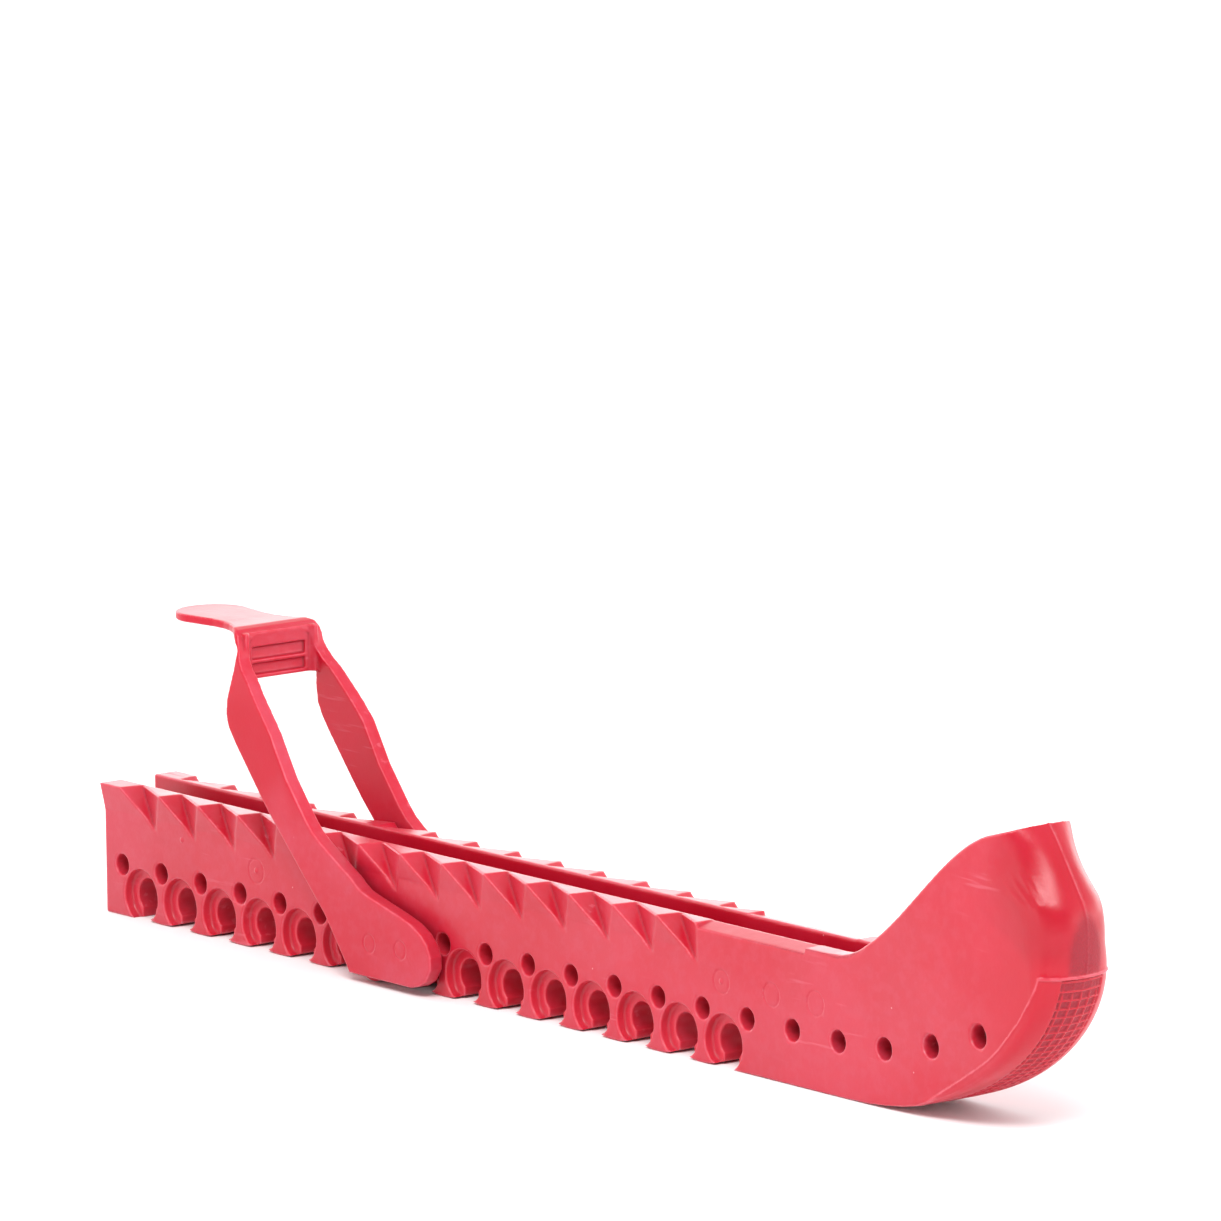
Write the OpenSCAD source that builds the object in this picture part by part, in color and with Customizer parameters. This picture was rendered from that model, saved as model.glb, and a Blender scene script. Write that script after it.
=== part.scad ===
// Walking guard for an ice skate blade, with a heel strap that swings on two pegs.
// +X runs from heel to toe, +Z is up, and the feet stand on Z = 0.
// The origin is midway along the guard, on its centre plane, at the floor.

/* [Channel body] */
// Overall length from the cut heel end to the front of the toe cup
body_l = 308; // [300:1:316]
// Width across the flat sides
body_w = 18; // [17.6:0.2:20]
// Height of the side walls' lips
lip_z = 28.2; // [27.6:0.2:30]
// Distance from one foot to the next, and from one drain hole to the next
pitch = 14; // [13.8:0.1:14.2]

/* [Blade channel] */
// Width of the upper channel, which takes the skate's plastic holder
rail_w = 8.4; // [8:0.2:9]
// Height of the step on which the holder rests
rail_z = 20; // [19:0.5:21]
// Width of the lower slot, which takes the steel
slot_w = 4.6; // [4.4:0.1:5.2]
// Height of the slot's floor, under the edge of the steel
slot_z = 12.4; // [12:0.1:13]

/* [Feet] */
// Number of arches between the feet
arch_n = 15; // [12:1:15]
// Height of the arches' centre line
arch_z = 5.1; // [5:0.05:5.2]
// Radius of the round recess on each side of an arch
recess_r = 5.8; // [5.6:0.1:6]
// Depth of that recess
recess_d = 2.1; // [1.9:0.1:2.4]
// Radius of the bore that goes right across
bore_r = 3.6; // [3.5:0.05:3.7]
// Width of the mouth under each bore
mouth_w = 4.4; // [4:0.1:4.5]
// Radius of the drain holes above the feet
drain_r = 2.25; // [2:0.05:2.4]
// Height of the drain holes' centre line
drain_z = 11.1; // [10.9:0.1:11.3]

/* [Lip teeth] */
// Number of notches along each lip
notch_n = 14; // [10:1:14]
// How far the lips flare out beyond the flat sides
flare_w = 1.2; // [0.8:0.1:1.3]
// How far down the wall the flare reaches
flare_h = 5.7; // [5:0.1:6.5]
// How far down the wall the notches reach
notch_h = 8.7; // [8:0.1:9.2]
// How far the notches cut in from the flared edge
notch_in = 5.3; // [4.5:0.1:5.4]

/* [Toe cup] */
// Height of the cup's front rim
cup_z = 61; // [58:0.5:64]
// Length of the rising part of the rim
rise_l = 52; // [48:1:54]
// How far the rounded nose stands ahead of its sides
nose_d = 8; // [6:0.5:8.5]
// Length of the rounded underside of the toe
sole_l = 60; // [56:1:62]
// Height at which the nose is furthest forward
nose_z = 38; // [36:0.5:40]

/* [Heel strap] */
// Thickness of the strap's side plates
strap_t = 3.2; // [2.8:0.1:3.6]
// Gap between the lips and the side plates
strap_gap = 0.35; // [0.3:0.05:0.6]
// Arch in which the strap's pegs sit, counted from the heel
strap_arch = 6; // [5:1:8]
// Height of the strap's top
strap_top = 68; // [66:0.5:70]
// Thickness of the pull tab
tab_t = 1.7; // [1.5:0.1:2.2]
// Half the width of the pull tab
tab_r = 7.9; // [6.5:0.1:8.5]
// Thickness of the web behind the skate's heel post
web_t = 2; // [1.8:0.1:2.4]
// Radial running clearance of the pegs
peg_gap = 0.05; // [0.02:0.01:0.1]

/* [Hidden] */
$fn = 64;
eps = 0.01;
body_red = [0.90, 0.20, 0.27];
strap_red = [0.90, 0.17, 0.25];

half_w = body_w / 2;
heel_x = -body_l / 2;
toe_x = body_l / 2;
hole_x = heel_x + 6;
arch_x = hole_x + pitch / 2 - 0.4;
last_arch_x = arch_x + (arch_n - 1) * pitch;

// Underside of the toe: a quarter ellipse from the floor to the front
sole_x = toe_x - sole_l;
nose_x = sole_x + 20;
rise_x = toe_x - 14 - rise_l;

// The cup's rim is lower along its sides than at its nose
side_z = cup_z - 1.6;
rim_fall = 0.4;

// Strap, measured from its own peg axis
peg_x = arch_x + strap_arch * pitch;
peg_z = arch_z;
strap_in = half_w + flare_w + strap_gap;
strap_out = strap_in + strap_t;
waist_z = strap_top - 6;
web_x = peg_x - 45.2;

function smooth(u) = 3 * pow(u, 2) - 2 * pow(u, 3);
function clamp01(u) = max(0, min(1, u));
function rim_z(x) = lip_z + (side_z - lip_z) * smooth(clamp01((x - rise_x) / rise_l));

// Stations along the toe's outline, from the underside round the front to the rim.
// Each is [x, z, inward x, inward z, depth of the rounding].
sole_n = 16;
sole_a0 = acos((nose_x - sole_x) / sole_l);
function sole_at(a) = [sole_x + sole_l * cos(a), nose_z - nose_z * sin(a)];
function sole_in(a) = [-cos(a) / sole_l, sin(a) / nose_z] / norm([cos(a) / sole_l, sin(a) / nose_z]);
function sole_d(t) = nose_d * (0.56 * pow(t, 0.8) + 0.44 * pow(t, 6));
sole_rows = [
    for (i = [0 : sole_n])
        let (a = sole_a0 * (1 - i / sole_n), p = sole_at(a), q = sole_in(a))
        [p[0], p[1], q[0], q[1], sole_d(i / sole_n)]
];

// Above the nose the front bends back and leans towards the heel. It is pinched
// there, and blunter again at the rim.
bend_r = 10;
lean = 34;
bend_z = nose_z + 3;
bend_n = 6;
bend_rows = [
    for (i = [1 : bend_n])
        let (a = lean * i / bend_n)
        [toe_x - bend_r + bend_r * cos(a), bend_z + bend_r * sin(a), -1, 0, nose_d + i / bend_n]
];
lean_z0 = bend_z + bend_r * sin(lean);
lean_x0 = toe_x - bend_r + bend_r * cos(lean);
lean_n = 8;
function lean_d(t) = nose_d + 1 + 5 * sin(180 * t) - 4 * t;
lean_rows = [
    for (i = [1 : lean_n])
        let (t = i / lean_n, z = lean_z0 + (cup_z - lean_z0) * t)
        [lean_x0 - (z - lean_z0) * tan(lean), z, -1, -rim_fall * t, lean_d(t)]
];
rim_x1 = lean_x0 - (cup_z - lean_z0) * tan(lean) - 6;
rim_n = 12;
rim_rows = [
    for (i = [0 : rim_n])
        let (x = rim_x1 + (nose_x - rim_x1) * i / rim_n)
        [x, rim_z(x), 0, 0, 0]
];
toe_rows = concat(sole_rows, bend_rows, lean_rows, rim_rows);
rows_n = len(toe_rows);
arc_n = 16;
hub = [nose_x + 12, nose_z - 12];

function toe_point(r, j) =
    let (b = -90 + 180 * j / arc_n, d = r[4] * (1 - cos(b)))
    [r[0] + r[2] * d, half_w * sin(b), r[1] + r[3] * d];
toe_points = concat(
    [for (r = toe_rows) for (j = [0 : arc_n]) toe_point(r, j)],
    [[hub[0], -half_w, hub[1]], [hub[0], half_w, hub[1]]]
);
hub_i = rows_n * (arc_n + 1);
function at(i, j) = (i % rows_n) * (arc_n + 1) + j;

// Outside of the toe cup, from the plane where the straight body ends
module toe_block() {
    skin = [
        for (i = [0 : rows_n - 1]) for (j = [0 : arc_n - 1])
            each [[at(i, j), at(i + 1, j), at(i, j + 1)], [at(i, j + 1), at(i + 1, j), at(i + 1, j + 1)]]
    ];
    near = [for (i = [0 : rows_n - 1]) [hub_i, at(i + 1, 0), at(i, 0)]];
    far = [for (i = [0 : rows_n - 1]) [hub_i + 1, at(i, arc_n), at(i + 1, arc_n)]];
    polyhedron(points = toe_points, faces = concat(skin, near, far), convexity = 6);
}

// Straight body outline up to the toe block, drawn in X and Z
module side_outline() {
    under = [for (i = [0 : 4]) sole_at(90 - (90 - sole_a0) * i / 4)];
    rim = [for (i = [0 : 10]) let (x = nose_x - (nose_x - rise_x) * i / 10) [x, rim_z(x)]];
    polygon(concat([[heel_x, 0]], under, rim, [[heel_x, lip_z]]));
}

// A flat shape drawn in X and Z, with its thickness across the guard
module across(w) {
    rotate([90, 0, 0]) translate([0, 0, -w / 2]) linear_extrude(w) children();
}

// A flared lip along one side, behind the plain part of the wall
module lip_flare() {
    flare_l = notch_n * pitch + 2.4;
    translate([heel_x, 0, 0]) rotate([90, 0, 90]) linear_extrude(flare_l)
        polygon([
            [-half_w + 1, lip_z - flare_h],
            [-half_w, lip_z - flare_h],
            [-half_w - flare_w, lip_z],
            [-half_w + 1, lip_z]
        ]);
}

// V-shaped cutter that opens one notch: a short steep face, then a long diagonal one.
// Its edge runs from the notch's inner corner down to the tip on the wall's side.
module lip_notch() {
    ridge = [0, -half_w - flare_w, lip_z];
    next = ridge + [pitch, 0, 0];
    inner = ridge + [1.1, notch_in, 0];
    tip = [11.6, -half_w, lip_z - notch_h];
    run = tip - inner;
    turn = atan2(run[1], run[0]);
    fall = acos(run[2] / norm(run));
    u = [cos(turn) * cos(fall), sin(turn) * cos(fall), -sin(fall)];
    v = [-sin(turn), cos(turn), 0];
    steep = 2.2 * (ridge - inner);
    long = 1.4 * (next - inner);
    translate(inner) rotate([0, fall, turn]) translate([0, 0, -6])
        linear_extrude(norm(run) + 10) polygon([[0, 0], [steep * u, steep * v], [long * u, long * v]]);
}

module lip_notches() {
    for (k = [0 : notch_n - 1])
        translate([hole_x + 1.4 + k * pitch, 0, 0]) lip_notch();
}

// Cutter that slopes a lip's top outwards ahead of the notches, then runs out
// where the rim begins to rise
module lip_slope() {
    slope_x = hole_x + notch_n * pitch - 1.5;
    flat_x = rise_x - 8;
    drop = 1.1;
    slope = drop / (half_w - rail_w / 2);
    run_out = 8.5;
    translate([slope_x, 0, lip_z]) rotate([90, 0, 90]) linear_extrude(flat_x - slope_x)
        lip_slope_outline(slope);
    translate([flat_x, 0, lip_z]) rotate([0, -run_out, 0]) rotate([90, 0, 90]) linear_extrude(14)
        lip_slope_outline(slope);
}

module lip_slope_outline(slope) {
    w = half_w - rail_w / 2 + 2;
    translate([-rail_w / 2, 0]) polygon([[0, 0], [-w, -w * slope], [-w, 3]]);
}

module both_sides() {
    children();
    mirror([0, 1, 0]) children();
}

// Upper channel for the holder, rising with the toe cup and open at the heel
module rail_outline() {
    front_x = toe_x - 6;
    curve = [
        for (i = [0 : 12])
            let (a = 90 * (1 - i / 12))
            [sole_x + (front_x - sole_x) * cos(a), rail_z + 21 * (1 - sin(a))]
    ];
    top_x = rim_x1 + 2.6;
    polygon(concat([[heel_x - 1, rail_z]], curve, [[top_x, cup_z + 1], [heel_x - 1, cup_z + 1]]));
}

// Lower slot for the steel, which follows the blade's curved toe
module slot_outline() {
    front_x = toe_x - 7;
    curve = [
        for (i = [0 : 12])
            let (a = 90 * (1 - i / 12))
            [sole_x + (front_x - sole_x) * cos(a), slot_z + 28.6 * (1 - sin(a))]
    ];
    polygon(concat([[heel_x - 1, slot_z]], curve, [[heel_x - 1, slot_z + 28.6]]));
}

// One arch: a bore right across, a recess on each side and a mouth at the floor
module arch_cut() {
    translate([0, 0, arch_z]) rotate([90, 0, 0]) cylinder(r = bore_r, h = body_w + 2, center = true);
    translate([-mouth_w / 2, -half_w - 1, -1]) cube([mouth_w, body_w + 2, 1 + arch_z - bore_r / 2]);
    both_sides()
        translate([0, -half_w + recess_d, arch_z]) rotate([90, 0, 0])
            cylinder(r = recess_r, h = recess_d + 1);
}

module drain_hole() {
    rotate([90, 0, 0]) cylinder(r = drain_r, h = body_w + 6, center = true);
}

// The last drain holes climb with the curve of the toe
module drain_holes() {
    for (i = [0 : 17]) translate([hole_x + i * pitch, 0, drain_z]) drain_hole();
    for (p = [[252, 11.9], [266, 14.6], [280.1, 18.8]])
        translate([hole_x + p[0], 0, p[1]]) drain_hole();
}

module guard_body() {
    color(body_red) difference() {
        union() {
            across(body_w) side_outline();
            toe_block();
            both_sides() lip_flare();
        }
        across(rail_w) rail_outline();
        across(slot_w) slot_outline();
        both_sides() lip_notches();
        both_sides() lip_slope();
        for (i = [0 : arch_n - 1]) translate([arch_x + i * pitch, 0, 0]) arch_cut();
        drain_holes();
    }
}

// Side view of the strap: pad, leaning arm, waist, bar and pull tab
module strap_side() {
    top = strap_top - peg_z;
    translate([peg_x, peg_z]) polygon([
        [-4.6, -3.4], [-5.4, -2], [-7.7, 1], [-12.7, 7.6], [-21, 15.8], [-31.2, 26],
        [-34.6, 29.8], [-42.6, 39.2], [-45, 42.4], [-46.1, 45], [-46.2, 48.2], [-45.6, 51.2],
        [-45.1, 54.4], [-45, top - 4.7], [-45.3, top - 3.7], [-46.1, top - 2.7], [-47.4, top - 2],
        [-49.4, top - tab_t], [-80, top - tab_t], [-80, top], [-48, top], [-46.4, top - 0.4],
        [-45.2, top - 1.4], [-44.6, top - 2.8], [-44.3, top - 4.2], [-43.6, 56.8], [-42.1, 54.9],
        [-39.9, 53.1], [-36.4, 49.4], [-33.1, 46], [-30.3, 42.9], [-28.6, 40.1], [-25, 34.3],
        [-20.6, 29], [-18.6, 26.6], [-16.4, 24.4], [-13.6, 22.5], [-6.8, 18.6], [-3.5, 16.8],
        [-1.4, 15.3], [0.2, 14.4], [2.5, 13.7], [13.2, 11], [16.8, 9.9], [20, 8.2], [22, 6.3],
        [23.2, 3.9], [23.2, 1.2], [21.6, -1.3], [19.2, -2.7], [16.4, -3.4]
    ]);
}

// Front view of the strap: an upside-down U that narrows towards the bar
module strap_front() {
    difference() {
        polygon(concat(arch_side(-1, outer_edge), reversed(arch_side(1, outer_edge))));
        polygon(concat(arch_side(-1, inner_edge), reversed(arch_side(1, inner_edge))));
    }
}

// The arms lean in above their shoulders, along a curve that steepens
shoulder_z = 44;
lean_top = strap_top - 4.5;
function lean_in(z) = 2.6 * pow((z - shoulder_z) / (lean_top - shoulder_z), 2.2);
lean_zs = [for (i = [0 : 8]) shoulder_z + (lean_top - shoulder_z) * i / 8];
top_out = strap_out - 2.8;
top_in = strap_in - 2.4;
outer_edge = concat(
    [[strap_out, 0]], [for (z = lean_zs) [strap_out - lean_in(z), z]],
    [[top_out, strap_top - 2.2], [top_out - 0.5, strap_top - 0.6], [top_out - 1.2, strap_top]]
);
inner_edge = concat(
    [[strap_in, -1]], [for (z = lean_zs) [strap_in - lean_in(z) * 2.4 / 2.6, z]],
    [[top_in - 0.3, strap_top - 2.8], [top_in - 1, strap_top - 2.1], [top_in - 2.2, strap_top - tab_t]]
);
function arch_side(side, edge) = [for (p = edge) [side * p[0], p[1]]];
function reversed(list) = [for (i = [len(list) - 1 : -1 : 0]) list[i]];

// One edge of the tab's plan: in from the round tip to the neck, then out to the bar
tip_x = peg_x - 76.2;
function tab_edge(side) = [
    [tip_x + tab_r, side * tab_r],
    [peg_x - 62.6, side * (tab_r - 0.7)],
    [peg_x - 59.2, side * 6.7],
    [peg_x - 55.6, side * 6.7],
    [peg_x - 52.6, side * 7.4],
    [peg_x - 49.6, side * 8.7],
    [peg_x - 47, side * 10.3],
    [peg_x - 45.2, side * 11.4],
    [peg_x - 43.4, side * strap_out]
];

module strap_plan() {
    translate([tip_x + tab_r, 0]) circle(r = tab_r);
    polygon(concat(tab_edge(-1), reversed(tab_edge(1))));
}

// Room for the arms below the waist, and for the bar and the tab above it
module strap_room() {
    translate([peg_x - 60, -strap_out - 1, 0]) cube([100, 2 * strap_out + 2, waist_z]);
    translate([0, 0, waist_z]) linear_extrude(10) strap_plan();
}

// Plan of the web that joins the arms behind the heel post, with its two ends in the arms
module web_plan() {
    half = 9.5;
    translate([web_x, 0]) polygon([
        [-web_t, 1.8 - half], [-web_t + 0.8, 0.5 - half], [0.2, -half], [1.3, -half],
        [1.3, 0.9 - half], [0, 1.8 - half], [0, half - 1.8], [1.3, half - 0.9],
        [1.3, half], [0.2, half], [-web_t + 0.8, half - 0.5], [-web_t, half - 1.8]
    ]);
}

// The web's front has two shallow pockets with a thin rib between them
module strap_web() {
    pocket_d = 0.8;
    web_h = 11;
    difference() {
        translate([0, 0, strap_top - web_h]) linear_extrude(web_h - 1) web_plan();
        translate([web_x - pocket_d, -7, strap_top - 7]) cube([2, 14, 2.8]);
        translate([web_x - pocket_d, -7, strap_top - 10.2]) cube([2, 14, 2.5]);
    }
}

// A peg and its boss, which turn in an arch's bore and recess
module strap_peg() {
    boss_r = arch_z - 0.2;
    translate([peg_x, -strap_in - 0.5, peg_z]) rotate([-90, 0, 0])
        cylinder(r = boss_r, h = strap_in + 0.5 - half_w + recess_d - 0.3);
    translate([peg_x, -strap_in - 0.5, peg_z]) rotate([-90, 0, 0])
        cylinder(r = bore_r - peg_gap, h = strap_in + 0.1);
}

module heel_strap() {
    color(strap_red) union() {
        intersection() {
            across(2 * strap_out) strap_side();
            translate([-body_l, 0, 0]) rotate([90, 0, 90]) linear_extrude(2 * body_l) strap_front();
            strap_room();
        }
        strap_web();
        both_sides() strap_peg();
    }
}

guard_body();
heel_strap();
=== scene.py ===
import math

import bmesh
import bpy
import numpy as np
from mathutils import Matrix, Vector


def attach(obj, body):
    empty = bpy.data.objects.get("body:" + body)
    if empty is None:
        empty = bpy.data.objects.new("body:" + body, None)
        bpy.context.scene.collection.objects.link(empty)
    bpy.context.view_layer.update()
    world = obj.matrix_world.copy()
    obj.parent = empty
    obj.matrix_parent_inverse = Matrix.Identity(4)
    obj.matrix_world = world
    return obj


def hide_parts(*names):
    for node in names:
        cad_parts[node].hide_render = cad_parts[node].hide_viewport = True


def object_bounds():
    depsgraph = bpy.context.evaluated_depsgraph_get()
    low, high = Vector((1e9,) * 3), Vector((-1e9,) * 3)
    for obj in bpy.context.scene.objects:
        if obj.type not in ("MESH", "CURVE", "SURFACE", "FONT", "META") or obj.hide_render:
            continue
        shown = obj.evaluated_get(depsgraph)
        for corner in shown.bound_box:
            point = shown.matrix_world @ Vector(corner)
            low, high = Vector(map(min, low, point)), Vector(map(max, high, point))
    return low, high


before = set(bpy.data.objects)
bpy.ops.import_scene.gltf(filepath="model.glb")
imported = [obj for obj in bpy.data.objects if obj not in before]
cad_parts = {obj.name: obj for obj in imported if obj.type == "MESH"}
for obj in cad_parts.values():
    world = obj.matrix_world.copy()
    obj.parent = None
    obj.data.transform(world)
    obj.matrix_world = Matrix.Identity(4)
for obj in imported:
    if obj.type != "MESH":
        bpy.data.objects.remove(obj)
cad_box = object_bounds()

MM = 0.001

# ---------------------------------------------------------------- sizes, in millimetres
HEEL_X = cad_box[0].x / MM
TOE_X = cad_box[1].x / MM
BODY_HALF_WIDTH = 9.0
PAD_HALF_WIDTH = 13.6
CHANNEL_HALF_WIDTH = 4.3
SLOT_FLOOR_Z = 12.6
HOLES_TOP_Z = 18.0       # above the drain holes and below the notches
LIP_SLOPE_Z = 24.0
NOTCHES_END_X = 47.0
RIM_START_X = 86.0       # where the lips begin to rise into the toe cup's rim

PITCH = 14.0
FIRST_ARCH_X = HEEL_X + 12.6
FEET_END_X = 62.0
FOOT_HALF_LENGTH = 4.8
FEET_CROWN = 0.7

SOLE_START_X = 94.0      # where the toe's underside leaves the floor
SOLE_RISE = 38.0
TOE_RIDGE_Z = 32.8
NOSE_START_X = 128.0
NOSE_END_X = 144.0
NOSE_FILL = 0.45
PATCH_TOP_Z = 44.8
PATCH_HALF_WIDTH = 3.9

TREAD_PITCH_ACROSS = 2.2
TREAD_PITCH_ALONG = 2.05
TREAD_HALF_WIDTH = 5.2
TREAD_DEPTH = 0.34
TREAD_LINE = 0.34
RIB_DEPTH = 0.22
RIB_HALF_WIDTH = 0.6

RIDGE_HEIGHT, RIDGE_HALF_WIDTH = 0.3, 0.55
SIDE_RIDGE_HEIGHT, SIDE_RIDGE_HALF_WIDTH = 0.16, 0.42
SOLE_LINE_HEIGHT, SOLE_LINE_HALF_WIDTH = 0.17, 0.42
PARTING_HEIGHT, PARTING_HALF_WIDTH = 0.16, 0.36
RING_DEPTH, RING_HALF_WIDTH, RING_SINK = 0.15, 0.4, 0.05
PIP_HEIGHT, PIP_RADIUS = 0.35, 0.75

# The raised line on each side that bounds the toe's sole, in X and Z
SOLE_LINE = [(112.5, 1.0), (117.5, 3.9), (124.0, 7.7), (130.0, 11.3), (133.2, 13.3),
             (136.0, 15.3), (138.4, 17.4), (141.7, 20.9), (144.2, 23.7), (145.8, 26.0),
             (147.4, 28.4), (148.8, 31.0), (149.4, TOE_RIDGE_Z)]

# Shallow round moulding marks on the body's sides and the strap's pads: X, Z, radius
SIDE_RINGS = [(54.2, 17.4, 2.4), (69.8, 17.2, 2.4), (83.3, 17.6, 2.5), (-99.9, 16.8, 2.6)]
PAD_RINGS = [(-54.9, 8.9, 1.9), (-44.4, 9.1, 1.9)]
# Small raised pips on the body's near side: X, Z
PIPS = [(54.2, 17.5), (-99.9, 16.9), (-126.1, 19.6)]

GUARD_VOXEL, STRAP_VOXEL = ((0.22, 0.2))
GUARD_ROUNDS, STRAP_ROUNDS = ((8, 10))
RIM_ROUNDS, TOE_ROUNDS = ((30, 90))
GUARD_TRIANGLES, STRAP_TRIANGLES = 190000, 70000
SMOOTHING = 0.5


# ---------------------------------------------------------------- mesh tools
def welded_copy(node):
    """A copy of a CAD node's mesh with its split corners joined, in millimetres."""
    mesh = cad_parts[node].data.copy()
    work = bmesh.new()
    work.from_mesh(mesh)
    bmesh.ops.remove_doubles(work, verts=work.verts, dist=1e-7)
    bmesh.ops.scale(work, verts=work.verts, vec=(1 / MM, 1 / MM, 1 / MM))
    work.to_mesh(mesh)
    work.free()
    return mesh


def applied(mesh, kind, **settings):
    """The mesh that one modifier makes of this one."""
    holder = bpy.data.objects.new("holder", mesh)
    bpy.context.scene.collection.objects.link(holder)
    modifier = holder.modifiers.new("modifier", kind)
    for name, value in settings.items():
        setattr(modifier, name, value)
    graph = bpy.context.evaluated_depsgraph_get()
    made = bpy.data.meshes.new_from_object(holder.evaluated_get(graph))
    bpy.data.objects.remove(holder)
    bpy.data.meshes.remove(mesh)
    return made


def remeshed(mesh, voxel):
    """The same solid as an even mesh of small squares."""
    return applied(mesh, "REMESH", mode="VOXEL", voxel_size=voxel)


def thinned(mesh, triangles):
    """The mesh with its flat stretches thinned down to this many triangles in all."""
    mesh.calc_loop_triangles()
    return applied(mesh, "DECIMATE", ratio=min(1.0, triangles / len(mesh.loop_triangles)))


def points_of(mesh):
    """The mesh's points as an array of rows."""
    points = np.empty(len(mesh.vertices) * 3)
    mesh.vertices.foreach_get("co", points)
    return points.reshape(-1, 3)


def normals_of(mesh):
    """The normal at each point as an array of rows."""
    normals = np.empty(len(mesh.vertices) * 3)
    mesh.vertex_normals.foreach_get("vector", normals)
    return normals.reshape(-1, 3)


def set_points(mesh, points):
    """Moves the mesh's points to these rows."""
    mesh.vertices.foreach_set("co", points.ravel())
    mesh.update()


def store(mesh, name, values):
    """Keeps one number for each point, for the material to read."""
    attribute = mesh.attributes.new(name, "FLOAT", "POINT")
    attribute.data.foreach_set("value", values.astype(np.float32))


def smoothed(mesh, points, share, rounds):
    """Moves each point towards the middle of its neighbours, by its own share."""
    edges = np.empty(len(mesh.edges) * 2, int)
    mesh.edges.foreach_get("vertices", edges)
    edges = edges.reshape(-1, 2)
    a, b = edges[(share[edges] > 0).any(axis=1)].T
    count = len(points)
    neighbours = np.bincount(a, minlength=count) + np.bincount(b, minlength=count)
    neighbours = np.maximum(neighbours, 1)
    for _ in range(rounds):
        mean = np.empty_like(points)
        for k in range(3):
            total = np.bincount(a, points[b, k], count) + np.bincount(b, points[a, k], count)
            mean[:, k] = total / neighbours
        points = points + share[:, None] * (mean - points)
    return points


def step(x, low, high):
    """0 below low, 1 above high and smooth in between."""
    t = np.clip((x - low) / (high - low), 0, 1)
    return t * t * (3 - 2 * t)


def fall(x, low, high):
    """1 below low, 0 above high and smooth in between."""
    return step(-x, -high, -low)


def bump(distance, half_width):
    """A rounded ridge, 1 on its crest and 0 from half_width away."""
    return np.clip(1 - (distance / half_width) ** 2, 0, 1) ** 2


def distance_to_grid(u, pitch):
    """Distance to the nearest line of an even grid."""
    return np.abs((u / pitch + 0.5) % 1 - 0.5) * pitch


def distance_to_line(x, z, line):
    """Distance in the X-Z plane to a line through several points."""
    best = np.full(len(x), np.inf)
    for (x0, z0), (x1, z1) in zip(line, line[1:]):
        dx, dz = x1 - x0, z1 - z0
        t = np.clip(((x - x0) * dx + (z - z0) * dz) / (dx * dx + dz * dz), 0, 1)
        best = np.minimum(best, np.hypot(x - x0 - t * dx, z - z0 - t * dz))
    return best


def finished(mesh, name, triangles, node, body):
    """The piece that replaces a CAD node, kept inside the CAD model's box."""
    mesh = thinned(mesh, triangles)
    mesh.name = name
    set_points(mesh, np.clip(points_of(mesh) * MM, cad_box[0], cad_box[1]))
    mesh.shade_smooth()
    piece = bpy.data.objects.new(name, mesh)
    bpy.context.scene.collection.objects.link(piece)
    weigh = piece.modifiers.new("normals", "WEIGHTED_NORMAL")
    weigh.weight = 90
    weigh.keep_sharp = False
    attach(piece, body)
    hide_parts(node)
    return piece


# ---------------------------------------------------------------- detail of the mouldings
# Here p are the points and n their normals, as rows in millimetres. Each _height function
# says how far a point is raised along its normal, and each _share how strongly a look or a
# smoothing acts on it.
def along_sole(x, z):
    """Distance run along the toe's underside and front, from where it leaves the floor."""
    length = TOE_X - SOLE_START_X
    angle = np.arctan2((x - SOLE_START_X) / length, (SOLE_RISE - z) / SOLE_RISE)
    turns = np.linspace(0, math.pi / 2 + 0.4, 400)
    across = np.gradient(length * np.sin(turns), turns)
    up = np.gradient(SOLE_RISE * np.cos(turns), turns)
    speed = np.hypot(across, up)
    run = np.concatenate([[0], np.cumsum((speed[1:] + speed[:-1]) / 2 * np.diff(turns))])
    return np.where(x < SOLE_START_X, x - SOLE_START_X, np.interp(angle, turns, run))


def tread_height(p, n):
    """Sunk cells between raised lines, on the toe's underside and front."""
    x, y, z = p.T
    facing = step(-n[:, 2] + np.maximum(n[:, 0], 0), 0.35, 0.6)
    on_sole = facing * step(x, FEET_END_X, FEET_END_X + 0.5)
    on_sole = on_sole * fall(z, TOE_RIDGE_Z - 0.6, TOE_RIDGE_Z - 0.2)
    inside = on_sole * fall(np.abs(y), TREAD_HALF_WIDTH - 0.25, TREAD_HALF_WIDTH + 0.1)
    lengthways = bump(distance_to_grid(y, TREAD_PITCH_ACROSS), TREAD_LINE)
    lengthways = lengthways * (0.3 + 0.7 * fall(z, TOE_RIDGE_Z - 4.4, TOE_RIDGE_Z - 3))
    crossways = bump(distance_to_grid(along_sole(x, z), TREAD_PITCH_ALONG), TREAD_LINE)
    return -TREAD_DEPTH * inside * (1 - np.maximum(lengthways, crossways))


def rib_height(p, n):
    """Fine cross ribs under the sole, on each side of the tread."""
    x, y, z = p.T
    beside = step(np.abs(y), TREAD_HALF_WIDTH, TREAD_HALF_WIDTH + 0.4)
    under = step(-n[:, 2], 0.75, 0.95) * fall(z, 0.6, 1.2) * beside
    under = under * step(x, FEET_END_X - 2, FEET_END_X)
    ribs = bump(distance_to_grid(along_sole(x, z), TREAD_PITCH_ALONG), RIB_HALF_WIDTH)
    return -RIB_DEPTH * under * (1 - ribs)


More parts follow.
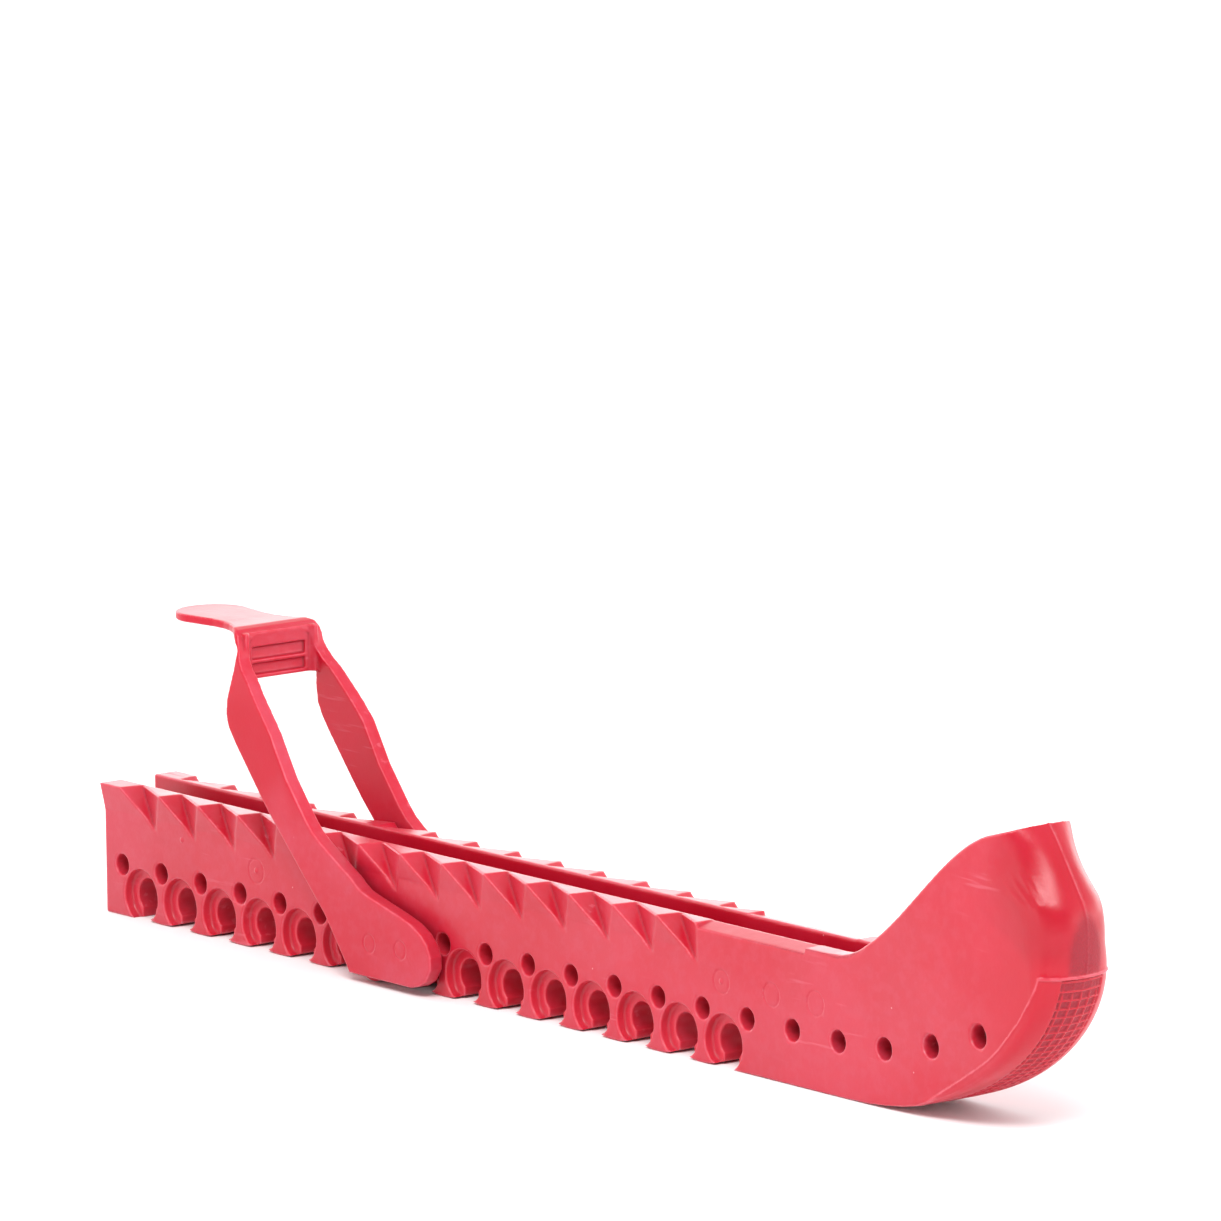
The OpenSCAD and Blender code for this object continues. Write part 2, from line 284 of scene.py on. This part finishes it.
def line_height(p, n):
    """The ridge across the toe, the lines that bound its sole and the parting line."""
    x, y, z = p.T
    outside = step(np.maximum(n[:, 0], np.abs(n[:, 1])) - 0.2 * np.abs(n[:, 2]), 0.3, 0.5)
    skin = (np.abs(y) > BODY_HALF_WIDTH - 0.6) | (x > NOSE_END_X)
    front = step(x, SOLE_LINE[-1][0] - 0.8, SOLE_LINE[-1][0]) * outside
    above_ridge = z - TOE_RIDGE_Z
    ridge = RIDGE_HEIGHT * bump(above_ridge, RIDGE_HALF_WIDTH) * front * step(n[:, 0], 0.2, 0.5)
    side_ridge = SIDE_RIDGE_HEIGHT * bump(above_ridge, SIDE_RIDGE_HALF_WIDTH) * front
    sole = bump(distance_to_line(x, z, SOLE_LINE), SOLE_LINE_HALF_WIDTH) * outside * skin
    parting = bump(y, PARTING_HALF_WIDTH) * step(n[:, 0], 0.3, 0.5) * step(above_ridge, 0, 0.5)
    parting = PARTING_HEIGHT * parting * (x > NOSE_END_X - 3)
    return np.maximum.reduce([ridge, side_ridge, SOLE_LINE_HEIGHT * sole, parting])


def nose_fill(p, n):
    """What smoothing takes off the nose above the ridge, put back."""
    x, y, z = p.T
    above = step(z, 42, 49) * fall(z, 57.5, 62.5)
    return NOSE_FILL * above * step(n[:, 0], 0.2, 0.5) * step(x, 135, NOSE_END_X - 1)


def ring_height(p, n, rings, side_y):
    """Shallow ring grooves on both flat sides, each with a slightly sunk middle."""
    x, y, z = p.T
    flat = (np.abs(n[:, 1]) > 0.9) & (y * n[:, 1] > 0) & (np.abs(y) > side_y - 0.3)
    total = np.zeros(len(p))
    for x0, z0, radius in rings:
        away = np.hypot(x - x0, z - z0)
        groove = RING_DEPTH * bump(away - radius, RING_HALF_WIDTH)
        total -= flat * (groove + RING_SINK * fall(away, radius - 0.3, radius))
    return total


def pip_height(p, n):
    """Small raised pips on the near side."""
    x, y, z = p.T
    flat = (n[:, 1] < -0.9) & (y < 0.3 - BODY_HALF_WIDTH)
    total = np.zeros(len(p))
    for x0, z0 in PIPS:
        total += PIP_HEIGHT * flat * bump(np.hypot(x - x0, z - z0), PIP_RADIUS)
    return total


def feet_crown(p):
    """How far each foot's underside curves up towards the arches' mouths."""
    x, y, z = p.T
    feet = (x - FIRST_ARCH_X) / PITCH
    from_middle = np.abs(feet - np.floor(feet) - 0.5) * PITCH
    curve = np.clip(from_middle / FOOT_HALF_LENGTH, 0, 1) ** 2.5
    between = (x > FIRST_ARCH_X) & (x < FEET_END_X - 8)
    return FEET_CROWN * curve * between * fall(z, 0, 3.5)


def stipple_and_shade_share(p, n, tread):
    """1 where the mould is stippled: in the tread's cells and on the front above the ridge; and
    0.7 on the lips' slopes ahead of the notches, where the darker colour is painted shade."""
    x, y, z = p.T
    front = step(n[:, 0], 0.55, 0.8) * step(z, TOE_RIDGE_Z + 0.2, TOE_RIDGE_Z + 0.7)
    patch = front * step(PATCH_TOP_Z - 0.4 * y * y - z, -1.8, 1.8)
    patch = patch * fall(np.abs(y), PATCH_HALF_WIDTH - 0.8, PATCH_HALF_WIDTH + 0.8)
    cells = step(-tread, 0.4 * TREAD_DEPTH, 0.9 * TREAD_DEPTH) * step(n[:, 0], 0.1, 0.4)
    shaded_slope = step(n[:, 2], 0.2, 0.4) * fall(n[:, 2], 0.75, 0.9) * step(z, LIP_SLOPE_Z - 2, LIP_SLOPE_Z)
    shaded_slope = shaded_slope * step(np.abs(y), CHANNEL_HALF_WIDTH, CHANNEL_HALF_WIDTH + 0.5)
    shaded_slope = shaded_slope * step(x, NOTCHES_END_X, NOTCHES_END_X + 3) * fall(x, SOLE_START_X, SOLE_START_X + 6)
    return np.maximum.reduce([patch, cells, 0.7 * shaded_slope])


def bloom_and_sheen_free_share(p, n):
    """1 where neither bloom nor painted sheen is laid over the red, so it stays deeper there as
    painted shade: on the nose, inside the channel and in the notches.
    """
    x, y, z = p.T
    nose = step(x, NOSE_START_X, NOSE_END_X)
    channel = fall(np.abs(y), CHANNEL_HALF_WIDTH - 0.1, CHANNEL_HALF_WIDTH + 0.1) * (z > SLOT_FLOOR_Z)
    notch = fall(np.abs(y), BODY_HALF_WIDTH - 0.3, BODY_HALF_WIDTH - 0.15)
    notch = notch * step(z, HOLES_TOP_Z, HOLES_TOP_Z + 2) * fall(x, NOTCHES_END_X - 1, NOTCHES_END_X)
    return np.maximum.reduce([nose, channel, 0.6 * notch * step(np.abs(n[:, 0]), 0.1, 0.25)])


def painted_glow_and_shade_share(p):
    """Above 0 where painted light makes the thin walls at the arches' and holes' mouths glow,
    and below 0 for painted shade deep inside them and on the nose."""
    x, y, z = p.T
    hole = fall(np.abs(y), BODY_HALF_WIDTH - 0.3, BODY_HALF_WIDTH - 0.1) * fall(x, 75, 80)
    hole = hole * step(z, 0.3, 0.8) * fall(z, HOLES_TOP_Z - 2, HOLES_TOP_Z)
    mouth = step(np.abs(y), 4.5, 7.5)
    nose = step(x, NOSE_START_X, NOSE_END_X) * step(z, TOE_RIDGE_Z, TOE_RIDGE_Z + 5)
    return hole * (1.6 * mouth - 0.6) - 0.35 * nose


def rim_start_share(p):
    """1 on the lips' slopes where the toe's rim begins, so that they run out softly."""
    x, y, z = p.T
    along = step(x, RIM_START_X, RIM_START_X + 4) * fall(x, RIM_START_X + 10, RIM_START_X + 13)
    return along * step(z, LIP_SLOPE_Z + 2, LIP_SLOPE_Z + 4) * step(np.abs(y), 5, 6.5)


def toe_skin_share(p, n):
    """1 on the toe's outer skin, whose rows are blended into one curve."""
    x, y, z = p.T
    facing = step(-n[:, 2] + n[:, 0], 0.05, 0.2)
    outline = x + 0.55 * np.abs(y) - 0.3 * np.abs(z - 36)
    return facing * step(x, 112, 116) * step(outline, 108, 112)


# ---------------------------------------------------------------- the two mouldings
def rounded(node, voxel, rounds):
    """A CAD node's remeshed copy with its edges rounded: the mesh, its points, their normals
    and how far each point sank."""
    mesh = remeshed(welded_copy(node), voxel)
    rest = points_of(mesh)
    points = smoothed(mesh, rest, np.full(len(rest), SMOOTHING), rounds)
    set_points(mesh, points)
    normals = normals_of(mesh)
    return mesh, points, normals, np.einsum("ij,ij->i", rest - points, normals)


def make_guard():
    """The body, with its tread, ribs, ridge, lines and moulding marks."""
    mesh, points, normals, convex = rounded("guard_body", GUARD_VOXEL, GUARD_ROUNDS)
    points = smoothed(mesh, points, SMOOTHING * rim_start_share(points), RIM_ROUNDS)
    skin = SMOOTHING * toe_skin_share(points, normals)
    once = smoothed(mesh, points, skin, TOE_ROUNDS)
    # a second pass tells how much the first one shrank the toe, and that is put back
    points = once + (once - smoothed(mesh, once, skin, TOE_ROUNDS))
    set_points(mesh, points)
    normals = normals_of(mesh)

    tread = tread_height(points, normals)
    lines = line_height(points, normals)
    # stippled patches, with painted shade on the lips' slopes
    store(mesh, "stipple_and_shade", stipple_and_shade_share(points, normals, tread))
    # where the veil of bloom and painted sheen is left off
    store(mesh, "bloom_and_sheen_free", bloom_and_sheen_free_share(points, normals))
    # painted glow at the holes' mouths, and painted shade deep inside them and on the nose
    store(mesh, "painted_glow_and_shade", painted_glow_and_shade_share(points))
    # how convex each point is; the material paints highlights on convex edges and raised lines, and
    # shade in creases, from it
    store(mesh, "convex", convex + 0.6 * lines)
    height = tread + rib_height(points, normals) + lines + nose_fill(points, normals)
    height += ring_height(points, normals, SIDE_RINGS, BODY_HALF_WIDTH) + pip_height(points, normals)
    points = points + normals * height[:, None]
    points[:, 2] += feet_crown(points)
    set_points(mesh, points)
    return finished(mesh, "moulded_guard", GUARD_TRIANGLES, "guard_body", "guard")


def make_strap():
    """The heel strap, with the round marks on its pads."""
    mesh, points, normals, convex = rounded("heel_strap", STRAP_VOXEL, STRAP_ROUNDS)
    store(mesh, "stipple_and_shade", np.zeros(len(points)))
    # the arm's upper part gets no veil of bloom and painted sheen, which leaves it deeper red as
    # painted shade
    store(mesh, "bloom_and_sheen_free", step(points[:, 2], 27, 37) * fall(normals[:, 0], 0.3, 0.6))
    store(mesh, "painted_glow_and_shade", np.zeros(len(points)))
    store(mesh, "convex", convex)
    height = ring_height(points, normals, PAD_RINGS, PAD_HALF_WIDTH)
    set_points(mesh, points + normals * height[:, None])
    return finished(mesh, "moulded_strap", STRAP_TRIANGLES, "heel_strap", "strap")


# ---------------------------------------------------------------- materials
class Nodes:
    """Short calls for building a node tree."""

    def __init__(self, tree):
        self.tree = tree

    def add(self, kind, **settings):
        node = self.tree.nodes.new("ShaderNode" + kind)
        for name, value in settings.items():
            setattr(node, name, value)
        return node

    def link(self, value, socket):
        """Joins a socket to this one, or sets this one to a constant."""
        if isinstance(value, bpy.types.NodeSocket):
            self.tree.links.new(value, socket)
        else:
            socket.default_value = value

    def millimetres(self):
        """Object coordinates in millimetres."""
        node = self.add("VectorMath", operation="SCALE")
        self.link(self.add("TexCoord").outputs["Object"], node.inputs[0])
        self.link(1 / MM, node.inputs["Scale"])
        return node.outputs[0]

    def dot(self, a, b):
        node = self.add("VectorMath", operation="DOT_PRODUCT")
        self.link(a, node.inputs[0])
        self.link(b, node.inputs[1])
        return node.outputs["Value"]

    def math(self, operation, a, b):
        node = self.add("Math", operation=operation)
        self.link(a, node.inputs[0])
        self.link(b, node.inputs[1])
        return node.outputs[0]

    def ramp(self, value, low, high, to_low=0.0, to_high=1.0):
        """Goes smoothly from to_low to to_high while the value goes from low to high."""
        node = self.add("MapRange", interpolation_type="SMOOTHSTEP")
        self.link(value, node.inputs["Value"])
        self.link(low, node.inputs["From Min"])
        self.link(high, node.inputs["From Max"])
        self.link(to_low, node.inputs["To Min"])
        self.link(to_high, node.inputs["To Max"])
        return node.outputs[0]

    def noise(self, place, scale, detail, stretch=(1, 1, 1), turn=(0, 0, 0), shift=(0, 0, 0)):
        """Noise with about this many clouds per millimetre."""
        mapping = self.add("Mapping")
        self.link(place, mapping.inputs["Vector"])
        self.link(shift, mapping.inputs["Location"])
        self.link(turn, mapping.inputs["Rotation"])
        self.link(stretch, mapping.inputs["Scale"])
        node = self.add("TexNoise")
        self.link(mapping.outputs[0], node.inputs["Vector"])
        self.link(scale, node.inputs["Scale"])
        self.link(detail, node.inputs["Detail"])
        return node.outputs["Fac"]

    def dots(self, place, scale, size, share):
        """Small round dots in a share of the cells of an uneven grid."""
        node = self.add("TexVoronoi")
        self.link(place, node.inputs["Vector"])
        self.link(scale, node.inputs["Scale"])
        near = self.ramp(node.outputs["Distance"], 0.5 * size * scale, size * scale, 1, 0)
        pick = self.add("SeparateColor")
        self.link(node.outputs["Color"], pick.inputs[0])
        return self.math("MULTIPLY", near, self.math("LESS_THAN", pick.outputs[0], share))

    def attribute(self, name):
        """What store() kept for each point."""
        return self.add("Attribute", attribute_name=name).outputs["Fac"]

    def mix(self, share, a, b):
        """Colour a with this share of colour b over it."""
        node = self.add("Mix", data_type="RGBA")
        self.link(share, node.inputs["Factor"])
        self.link(a, node.inputs["A"])
        self.link(b, node.inputs["B"])
        return node.outputs["Result"]

    def bumps(self, height, distance, before=None):
        """A bump this many millimetres high, on top of the one before."""
        node = self.add("Bump")
        self.link(1.0, node.inputs["Strength"])
        self.link(distance * MM, node.inputs["Distance"])
        self.link(height, node.inputs["Height"])
        if before is not None:
            self.link(before, node.inputs["Normal"])
        return node.outputs[0]


DEEP_RED = (0.46, 0.003, 0.018, 1)
CLEAR_RED = (0.50, 0.006, 0.027, 1)
# the pale veil: part bloom, part painted sheen standing in for reflection
BLOOM_AND_SHEEN_PINK = (0.53, 0.076, 0.118, 1)
# scuffs, and the painted highlight on convex edges
SCUFF_AND_HIGHLIGHT_PINK = (0.64, 0.16, 0.21, 1)
DUST = (0.70, 0.44, 0.46, 1)
# the stippled finish, also used as painted shade on the lips' slopes
STIPPLE_AND_SHADE_RED = (0.28, 0.009, 0.022, 1)
# painted shade in creases and deep inside the holes
PAINTED_SHADE_RED = (0.22, 0.003, 0.008, 1)
# painted glow at the arches' and holes' mouths
PAINTED_GLOW_RED = (0.60, 0.030, 0.055, 1)
SHEEN_TINT = (1, 0.92, 0.93, 1)
RED_SCATTER = (1.0, 0.15, 0.15)


def moulded_red(name, shift, bloom_and_sheen, shine):
    """Satin moulded rubber with bloom, fine grain, scuffs and dust, plus painted light and shade:
    a pale veil that is part bloom and part painted sheen, paler edges that are part wear and part
    painted highlight, painted shade in creases, deep in the holes and on the nose, and a painted
    glow at the holes' mouths.
    """
    material = bpy.data.materials.new(name)
    material.use_nodes = True
    n = Nodes(material.node_tree)
    shader = n.tree.nodes["Principled BSDF"]
    place = n.millimetres()

    cloud = n.noise(place, 0.035, 4, shift=shift)
    mottle = n.noise(place, 0.5, 3, shift=shift)
    # where the veil of bloom and painted sheen lies thicker
    bloom = n.noise(place, 0.018, 3, stretch=(1, 1, 1.6), shift=(7 + shift[0], 3, 1))
    streaks = n.noise(place, 0.5, 2, (0.12, 1, 1.4), (0, math.radians(38), 0), shift)
    stipple = n.noise(place, 2.4, 2)
    scuffed = n.ramp(n.noise(place, 0.03, 2, shift=(20, shift[1], 5)), 0.52, 0.62)
    scuff = n.math("MULTIPLY", n.ramp(streaks, 0.60, 0.72), scuffed)
    dust = n.dots(place, 0.16, 0.22, 0.22)
    convex = n.attribute("convex")
    # paler edges: part wear, part painted highlight on convex edges and raised lines
    worn_and_highlit_edge = n.math("MULTIPLY", n.ramp(convex, 0.035, 0.11), n.ramp(mottle, 0.3, 0.65, 0.45, 1))
    # painted shade in concave creases and hollows
    painted_crease_shade = n.ramp(convex, -0.12, -0.02, 1, 0)
    painted_glow_and_shade = n.attribute("painted_glow_and_shade")
    stipple_and_shade = n.attribute("stipple_and_shade")
    bloom_and_sheen_share = n.math("SUBTRACT", 1.0, n.attribute("bloom_and_sheen_free"))

    red = n.mix(n.ramp(cloud, 0.35, 0.65), DEEP_RED, CLEAR_RED)
    # a pale veil over the red: part bloom, part painted sheen standing in for reflection
    bloom_and_sheen_veil = n.ramp(bloom, 0.40, 0.64, 0.35 * bloom_and_sheen, bloom_and_sheen)
    bloom_and_sheen_veil = n.math("ADD", bloom_and_sheen_veil, n.ramp(mottle, 0.4, 0.7, -0.05, 0.07))
    red = n.mix(n.math("MULTIPLY", bloom_and_sheen_veil, bloom_and_sheen_share), red, BLOOM_AND_SHEEN_PINK)
    red = n.mix(n.math("MULTIPLY", scuff, 0.35), red, SCUFF_AND_HIGHLIGHT_PINK)
    red = n.mix(n.math("MULTIPLY", worn_and_highlit_edge, 0.45), red, SCUFF_AND_HIGHLIGHT_PINK)
    red = n.mix(n.math("MULTIPLY", painted_crease_shade, 0.55), red, PAINTED_SHADE_RED)
    # painted glow at the holes' mouths, then painted shade deep inside them and on the nose
    red = n.mix(n.ramp(painted_glow_and_shade, 0, 1, 0, 0.55), red, PAINTED_GLOW_RED)
    red = n.mix(n.ramp(painted_glow_and_shade, -1, 0, 0.85, 0), red, PAINTED_SHADE_RED)
    red = n.mix(n.math("MULTIPLY", dust, 0.5), red, DUST)
    worn = n.ramp(stipple, 0.4, 0.6, 0.75, 1)
    # stippled patches, and painted shade on the lips' slopes
    red = n.mix(n.math("MULTIPLY", stipple_and_shade, worn), red, STIPPLE_AND_SHADE_RED)
    n.link(red, shader.inputs["Base Color"])

    rough = n.ramp(cloud, 0.3, 0.7, 0.29, 0.35)
    rough = n.math("ADD", rough, n.math("MULTIPLY", scuff, 0.15))
    rough = n.math("ADD", rough, n.math("MULTIPLY", stipple_and_shade, 0.3))
    n.link(rough, shader.inputs["Roughness"])

    grain = n.bumps(n.noise(place, 1.6, 4), 0.02)
    swell = n.bumps(n.noise(place, 0.12, 2, shift=shift), 0.12, grain)
    marks = n.bumps(n.math("MULTIPLY", scuff, streaks), 0.03, swell)
    pits = n.bumps(n.math("MULTIPLY", stipple, stipple_and_shade), 0.12, marks)
    n.link(pits, shader.inputs["Normal"])

    shader.inputs["Specular IOR Level"].default_value = shine
    shader.inputs["Sheen Weight"].default_value = 0.06
    shader.inputs["Sheen Roughness"].default_value = 0.28
    shader.inputs["Sheen Tint"].default_value = SHEEN_TINT
    shader.inputs["Subsurface Weight"].default_value = 0.45
    shader.inputs["Subsurface Radius"].default_value = RED_SCATTER
    shader.inputs["Subsurface Scale"].default_value = 2 * MM
    return material


def dress(piece, material):
    """Gives a piece its only material."""
    piece.data.materials.clear()
    piece.data.materials.append(material)


# ---------------------------------------------------------------- camera
CAMERA_AT = Vector((1.56858, -1.23926, 0.42914))
CAMERA_YAW = math.radians(51.5256)
CAMERA_PITCH = math.radians(9.80)
CAMERA_ROLL = math.radians(-0.682)
CAMERA_LENS = 297.2


def make_camera():
    """The photograph's view: turned by the yaw, tipped down by the pitch, then rolled."""
    cos_p, sin_p = math.cos(CAMERA_PITCH), math.sin(CAMERA_PITCH)
    ahead = Vector((-math.sin(CAMERA_YAW) * cos_p, math.cos(CAMERA_YAW) * cos_p, -sin_p))
    level = Vector((math.cos(CAMERA_YAW), math.sin(CAMERA_YAW), 0))
    above = level.cross(ahead)
    cos_r, sin_r = math.cos(CAMERA_ROLL), math.sin(CAMERA_ROLL)
    right = cos_r * level + sin_r * above
    up = cos_r * above - sin_r * level
    data = bpy.data.cameras.new("camera")
    data.lens = CAMERA_LENS
    data.sensor_width = 36
    data.clip_start = 0.1
    data.clip_end = 20
    camera = bpy.data.objects.new("camera", data)
    turn = Matrix((right, up, -ahead)).transposed().to_4x4()
    camera.matrix_world = Matrix.Translation(CAMERA_AT) @ turn
    bpy.context.scene.collection.objects.link(camera)
    bpy.context.scene.camera = camera


# ---------------------------------------------------------------- studio, in metres
FLOOR_SIZE = 12
FLOOR_COLOUR = (0.93, 0.935, 0.94, 1)
DOME_LIGHT = 1.02
BACKDROP_LIGHT = 1.75
LOW_LIGHT = 2.3          # how much brighter the dome is near the horizon
BESIDE_SHARE = 1.9       # and beside the toe
DARK_SHARE = 0.3         # what is left of it around the camera
BEHIND = (-0.76, 0.65, 0)
BESIDE = (0.83, 0.56, 0)
KEY_AT = (0.59, -0.57, 1.02)
KEY_TOWARDS = (0.12, 0, 0.05)
KEY_SIZE = (0.9, 0.4)
KEY_WATTS = 13.5


def make_floor():
    """A plain pale floor under the feet."""
    bpy.ops.mesh.primitive_plane_add(size=FLOOR_SIZE, location=(0, 0, cad_box[0].z))
    floor = bpy.context.object
    floor.name = "floor"
    material = bpy.data.materials.new("floor")
    material.use_nodes = True
    shader = material.node_tree.nodes["Principled BSDF"]
    shader.inputs["Base Color"].default_value = FLOOR_COLOUR
    shader.inputs["Roughness"].default_value = 0.8
    shader.inputs["Specular IOR Level"].default_value = 0.1
    floor.data.materials.append(material)


def make_key_light():
    """One large soft lamp above the near side of the toe."""
    data = bpy.data.lights.new("key", "AREA")
    data.shape = "RECTANGLE"
    data.size, data.size_y = KEY_SIZE
    data.energy = KEY_WATTS
    lamp = bpy.data.objects.new("key", data)
    lamp.location = KEY_AT
    aim = Vector(KEY_TOWARDS) - Vector(KEY_AT)
    lamp.rotation_euler = aim.to_track_quat("-Z", "Y").to_euler()
    bpy.context.scene.collection.objects.link(lamp)


def make_world():
    """A white dome, brighter low down and behind the object, and darker around the camera."""
    world = bpy.data.worlds.new("studio")
    bpy.context.scene.world = world
    world.use_nodes = True
    n = Nodes(world.node_tree)
    background = n.tree.nodes["Background"]
    towards = n.add("TexCoord").outputs["Generated"]
    split = n.add("SeparateXYZ")
    n.link(towards, split.inputs[0])
    height = split.outputs["Z"]

    level = n.ramp(n.dot(towards, CAMERA_AT.normalized()), 0.62, 0.92, 1.0, DARK_SHARE)
    level = n.math("MULTIPLY", level, n.ramp(height, 0.05, 0.45, LOW_LIGHT, 1))
    level = n.math("MULTIPLY", level, n.ramp(n.dot(towards, BESIDE), 0.7, 0.95, 1, BESIDE_SHARE))
    behind = n.ramp(n.dot(towards, BEHIND), 0.4, 0.8)
    behind = n.math("MULTIPLY", behind, n.ramp(height, 0.45, 0.75, 1, 0))
    light = n.math("MULTIPLY", level, n.ramp(behind, 0, 1, DOME_LIGHT, BACKDROP_LIGHT))

    # the camera itself sees an even white
    strength = n.add("Mix")
    n.link(n.add("LightPath").outputs["Is Camera Ray"], strength.inputs["Factor"])
    n.link(light, strength.inputs["A"])
    n.link(1.0, strength.inputs["B"])
    n.link(strength.outputs["Result"], background.inputs["Strength"])
    n.link((1, 1, 1, 1), background.inputs["Color"])


make_camera()
make_floor()
make_world()
make_key_light()
bpy.context.scene.view_settings.view_transform = "Standard"
dress(make_guard(), moulded_red("guard_red", (0, 0, 0), 0.36, 0.40))
dress(make_strap(), moulded_red("strap_red", (31, 17, 9), 0.60, 0.24))
